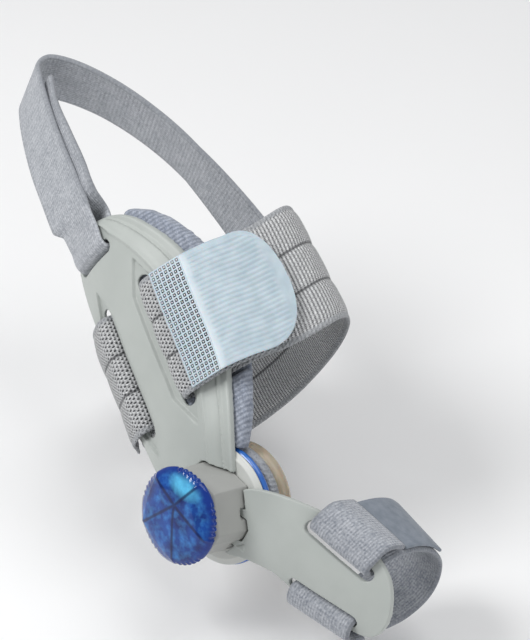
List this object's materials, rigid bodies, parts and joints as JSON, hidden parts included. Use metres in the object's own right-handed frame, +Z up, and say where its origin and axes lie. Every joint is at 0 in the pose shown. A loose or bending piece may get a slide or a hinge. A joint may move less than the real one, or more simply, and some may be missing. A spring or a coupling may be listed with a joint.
{
  "type": "bunion corrector splint",
  "caption": "Left-foot bunion corrector: shell with lining, geared joint housing with a turning knob, hinged toe plate, joint pad and instep, heel and toe straps.",
  "frame": {"origin": "middle of the gel pad's skin face over the big-toe joint, on the knob's axis", "axes": "+X towards the toes, +Y towards the outer side of the foot, +Z up; the splint leans 18 degrees about X"},
  "size_m": [0.223, 0.1105, 0.1199],
  "materials": {
    "shell_plastic": "smooth satin grey",
    "housing_plastic": "satin grey",
    "knob_clear": "clear glossy blue",
    "ring_plastic": "glossy blue",
    "gel": "soft clear gel",
    "elastic": "woven elastic with ribs",
    "strap_knit": "melange knit",
    "lining_knit": "ribbed knit over foam",
    "hook_plastic": "milky hook tape",
    "hook_grey": "smooth grey tape",
    "pin_steel": "plain steel"
  },
  "bodies": {
    "brace": {"main_shell": "shell_plastic", "shell_lining": "lining_knit", "gear_housing": "housing_plastic", "hinge_pin": "pin_steel", "joint_disc": "housing_plastic", "blue_ring": "ring_plastic", "fabric_pad": "strap_knit", "gel_pad": "gel", "instep_strap": "elastic", "instep_strap_tab": "hook_plastic", "heel_strap": "strap_knit"},
    "toe_plate": {"toe_splint": "shell_plastic", "toe_strap": "strap_knit", "toe_strap_tab": "hook_grey"},
    "knob": {"adjusting_knob": "knob_clear"}
  },
  "joints": [
    {"name": "toe_hinge", "type": "hinge", "parent": "brace", "child": "toe_plate", "pos_m": [0.0098, -0.01893, 0.00615], "axis": [0, -0.309, -0.9511], "range_deg": [0, 20]},
    {"name": "knob_turn", "type": "hinge", "parent": "brace", "child": "knob", "pos_m": [0, 0, 0], "axis": [0, -0.9511, 0.309], "range_deg": [0, 360]}
  ],
  "couplings": [
    {"joint": "knob_turn", "follows": "toe_hinge", "ratio": 18}
  ]
}
